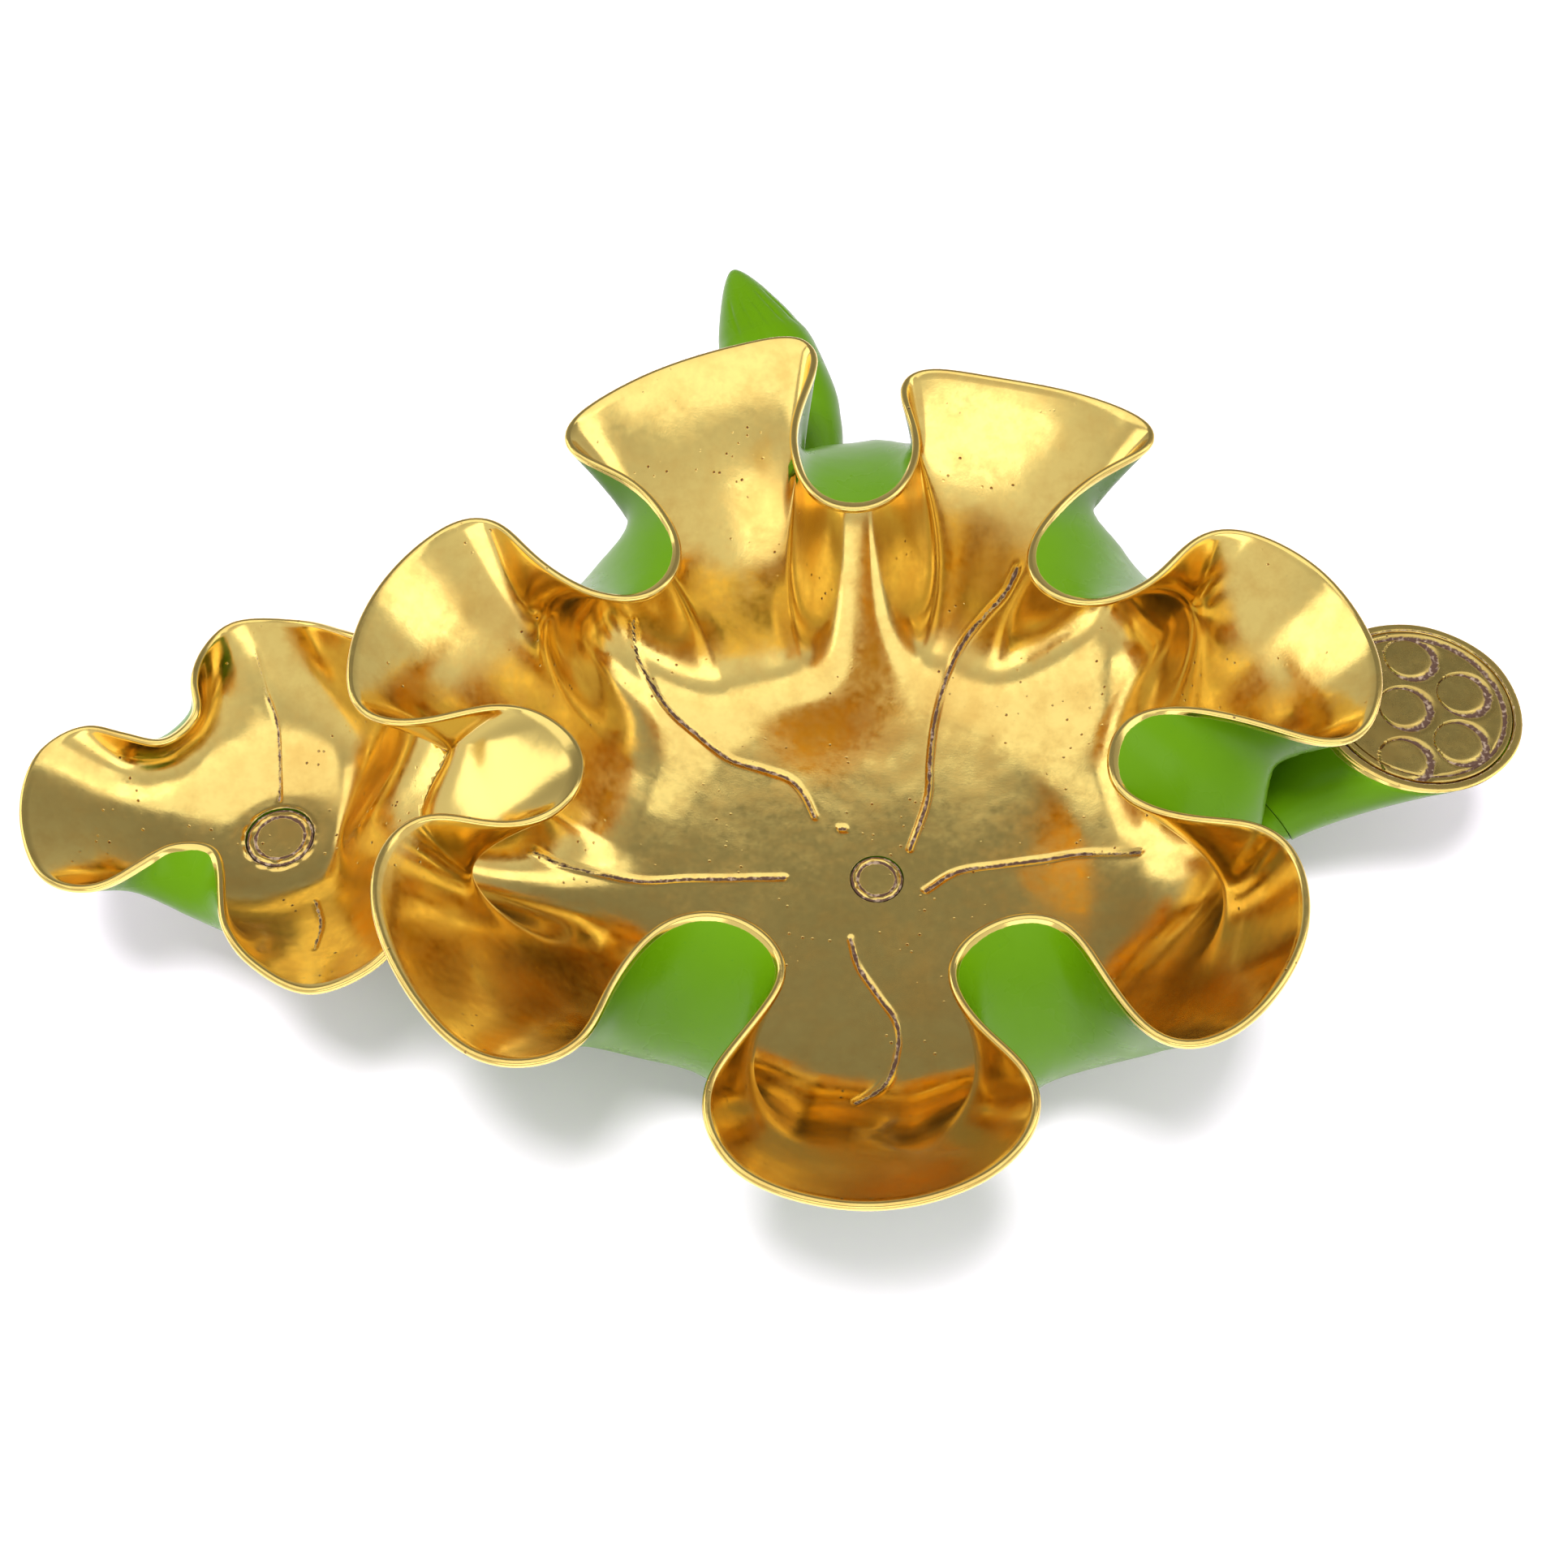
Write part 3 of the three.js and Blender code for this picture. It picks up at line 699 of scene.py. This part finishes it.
def rod(name, points, swell, material, node):
    """A round rod along the curve through its points, swelling over its last third."""
    path = catmull_rom(points, 14)
    last_third = np.clip((np.linspace(0, 1, len(path)) - 0.66) / 0.34, 0, 1)
    radii = rod_radius + swell * last_third ** 1.5
    tangent = np.gradient(path, axis=0)
    tangent /= np.linalg.norm(tangent, axis=1, keepdims=True)
    side = np.cross(tangent[0], (0, 1, 0.3))
    turn = np.arange(36) * 2 * math.pi / 36
    loops = []
    for centre, ahead, radius in zip(path, tangent, radii):
        side = side - ahead * (side @ ahead)
        side /= np.linalg.norm(side)
        across = np.cross(ahead, side)
        loops.append([centre + radius * (math.cos(a) * side + math.sin(a) * across) for a in turn])
    loops = np.array(loops)
    # Both ends are filed to a small chamfer.
    for end, step in ((0, 1), (-1, -1)):
        loops[end] = path[end] + (loops[end] - path[end]) * 0.93
        second = path[end] + step * tangent[end] * 0.35
        loops[end + step] = second + (loops[end + step] - path[end + step])
    mesh = skin(name, loops, [material])
    add_field(mesh, "bare", np.zeros(len(mesh.vertices)))
    settle(name, mesh, node)


def on_foot(degrees):
    """A point just clear of the foot's side, in the given direction."""
    clear = foot_radius + 0.9
    return (clear * math.cos(math.radians(degrees)), clear * math.sin(math.radians(degrees)), 6)


pod_base, pod_top = np.array((110.0, 6, 38)), np.array((148, 26.5, 62))
pod_lean = np.array((0.8, 0.45, 0.45)) / np.linalg.norm((0.8, 0.45, 0.45))
bud_base, bud_tip = np.array((-15.0, 128, 32)), np.array((-44.0, 206, 58))
bud_axis = (bud_tip - bud_base) / np.linalg.norm(bud_tip - bud_base)
rod("bent_tie_rod", [on_foot(182), (-85, -3, 8), (-120, -4.5, 12), (-155.8, -6, 18)], 0,
    dull_brass, "tie_rod")
rod("bent_pod_stalk", [on_foot(3), (80, 4, 10), pod_base - 10 * pod_lean,
                       pod_base - joint_gap * pod_lean], 4.4, lacquer, "pod_stalk")
rod("bent_bud_stalk", [on_foot(96), (-9, 92, 10), bud_base - 10 * bud_axis,
                       bud_base - joint_gap * bud_axis], 1.4, lacquer, "bud_stalk")

# ------------------------------------------------------------------------------------------------
# Seed pod: a hollow cast cone that bends up to a level mouth. Its side is lacquered green, and
# its lip is ground level with the face plate and left bare.
# ------------------------------------------------------------------------------------------------


def pod_radius(share):
    return 9 + 19.8 * share**1.15


def pod_ring(share, radius, drop=0.0, sides=144):
    """A ring round the pod's bent middle line, uneven towards the mouth where it is the outside."""
    knee = pod_base + 26 * pod_lean
    centre = (1 - share) ** 2 * pod_base + 2 * share * (1 - share) * knee + share**2 * pod_top
    facing_up = pod_lean + (np.array((0, 0, 1)) - pod_lean) * math.sqrt(share)
    facing_up /= np.linalg.norm(facing_up)
    across = np.cross((0, 1, 0), facing_up)
    across /= np.linalg.norm(across)
    along_ring = np.cross(facing_up, across)
    turn = np.arange(sides) * 2 * math.pi / sides
    lumps = np.array([noise.noise((1.7 * math.cos(a), 1.7 * math.sin(a), 4)) for a in turn])
    radius = radius - 0.45 * share**3 * (1 + lumps) * (radius > 27)
    return (centre - drop * facing_up + (radius * np.cos(turn))[:, None] * across
            + (radius * np.sin(turn))[:, None] * along_ring)


lip = [(28.7, 0.25), (28.4, 0.05), (28.0, 0), (26.2, 0), (25.9, 0.1), (25.7, 0.4), (25.7, 3.0)]
pod_loops = [pod_ring(s, pod_radius(s)) for s in np.linspace(0, 0.985, 40)]
pod_side_rows = len(pod_loops)
pod_loops += [pod_ring(1, radius, drop) for radius, drop in lip]
pod_loops += [pod_ring(s, pod_radius(s) - wall) for s in np.linspace(0.9, 0.36, 10)]
pod_rows = (np.arange(len(pod_loops)) >= pod_side_rows).astype(int)
pod_mesh = skin("pod_shell", np.array(pod_loops), [lacquer, brass], pod_rows)
points = mesh_points(pod_mesh)
from_centre = np.hypot(points[:, 0] - pod_top[0], points[:, 1] - pod_top[1])
add_field(pod_mesh, "bare", np.clip((points[:, 2] - pod_top[2] + 1.4) / 1.2, 0, 1))
add_groove(pod_mesh, np.where(points[:, 2] > pod_top[2] - 0.3, np.abs(from_centre - 25.6) + 0.1, 9))
settle("pod_shell", pod_mesh, "seed_pod")

# ------------------------------------------------------------------------------------------------
# Pod face: a round brass plate let into the pod's mouth. A ring is struck around each seed with a
# hollow punch, and patina fills the cuts. Each ring is cut deeper and wider on its right, and its
# patina widens with it there: that dark crescent is painted shade.
# ------------------------------------------------------------------------------------------------
seed_directions = np.radians((15, 75, 140, -100, -42))
seeds = [(17.5 * math.cos(d), 17.5 * math.sin(d)) for d in seed_directions]
seeds = np.array([(0, 0)] + seeds) + (-4, -1)
punch_radius = 7
aged_brass = polished_brass("aged_brass", (0.62, 0.46, 0.14, 1), 0.20)
face_rings, face_sides = 110, 300
turn = np.arange(face_sides) * 2 * math.pi / face_sides
top_radii = np.linspace(0.1, 25.0, face_rings)
face_top = np.stack([np.outer(top_radii, np.cos(turn)), np.outer(top_radii, np.sin(turn)),
                     np.zeros((face_rings, face_sides))], axis=2)
to_ring = np.full(face_top.shape[:2], 9.0)
for x, y in seeds:
    dx, dy = face_top[:, :, 0] - x, face_top[:, :, 1] - y
    # Each ring's cut and its dark patina widen on its right: the dark crescent there is painted shade.
    shaded_side = 0.5 + 0.5 * np.cos(np.arctan2(dy, dx) + 0.35)
    from_punch = np.abs(np.hypot(dx, dy) - punch_radius)
    to_ring = np.minimum(to_ring, from_punch / (0.15 + 1.7 * shaded_side**1.5))
# The line near the plate's edge widens towards one side in the same way, as painted shade.
edge_shaded_side = 0.5 + 0.5 * np.cos(np.arctan2(face_top[:, :, 1], face_top[:, :, 0]) - 0.5)
from_edge_line = np.abs(np.hypot(face_top[:, :, 0], face_top[:, :, 1]) - 23.4)
to_ring = np.minimum(to_ring, from_edge_line / (0.12 + 1.1 * edge_shaded_side))
face_top[:, :, 2] = -0.75 * np.exp(-(to_ring / 0.75) ** 2) + 0.12 * waves(face_top, 7, 2)
side = [np.stack([r * np.cos(turn), r * np.sin(turn), np.full(face_sides, z)], axis=1)
        for r, z in ((25.3, -0.1), (25.4, -0.4), (25.4, -2.5), (25.2, -2.7), (0.1, -2.7))]
face_mesh = skin("pod_face_plate", np.concatenate([face_top, side])[::-1] + pod_top, [aged_brass])
# The groove field carries the patina in the cuts, with painted shade on one side of each ring.
groove = np.full(len(face_mesh.vertices), 9.0)
below = len(side) * face_sides
groove[below:below + to_ring.size] = to_ring[::-1].ravel() + 0.05
add_groove(face_mesh, groove)
settle("pod_face_plate", face_mesh, "pod_face")

# ------------------------------------------------------------------------------------------------
# Lotus bud: a solid brass bud with closed petals, cast on its stalk and lacquered green. A few
# slanting strokes are cut near the point to show the petals' edges.
# ------------------------------------------------------------------------------------------------
# The bud's outline is in radius and share of its length, from the stalk to the point.
bud_outline = catmull_rom(
    [(0.1, 0), (6, 0.0), (8, 0.05), (12, 0.15), (15.5, 0.28), (17.2, 0.42), (16.8, 0.56),
     (14, 0.70), (9.8, 0.83), (5.6, 0.93), (2.2, 0.985), (0.15, 1)], 9)
bud_length = np.linalg.norm(bud_tip - bud_base)
bud_side = np.cross(bud_axis, (0, 0, 1))
bud_side /= np.linalg.norm(bud_side)
bud_up = np.cross(bud_side, bud_axis)
turn = np.arange(160) * 2 * math.pi / 160
bud_loops = []
for radius, share in bud_outline:
    fold = np.abs(np.cos(1.5 * turn - 1.6 * share)) ** 0.7
    radii = radius * (0.93 + 0.07 * fold * (1 - share**6)) * np.ones(len(turn))
    for stroke in (0.9, 1.25, 1.6, 1.95, 2.3):
        off = (turn - stroke - 0.9 * (share - 0.75)) * max(radius, 0.5)
        stroke_depth = 0.5 * math.exp(-(((share - 0.74) / 0.09) ** 4))
        radii = radii - stroke_depth * np.exp(-(off / 0.5) ** 2)
    bud_loops.append(bud_base + bud_axis * share * bud_length
                     + (radii * np.cos(turn))[:, None] * bud_side
                     + (radii * np.sin(turn))[:, None] * bud_up)
bud_mesh = skin("bud_body", np.array(bud_loops), [lacquer])
add_field(bud_mesh, "bare", np.zeros(len(bud_mesh.vertices)))
settle("bud_body", bud_mesh, "lotus_bud")
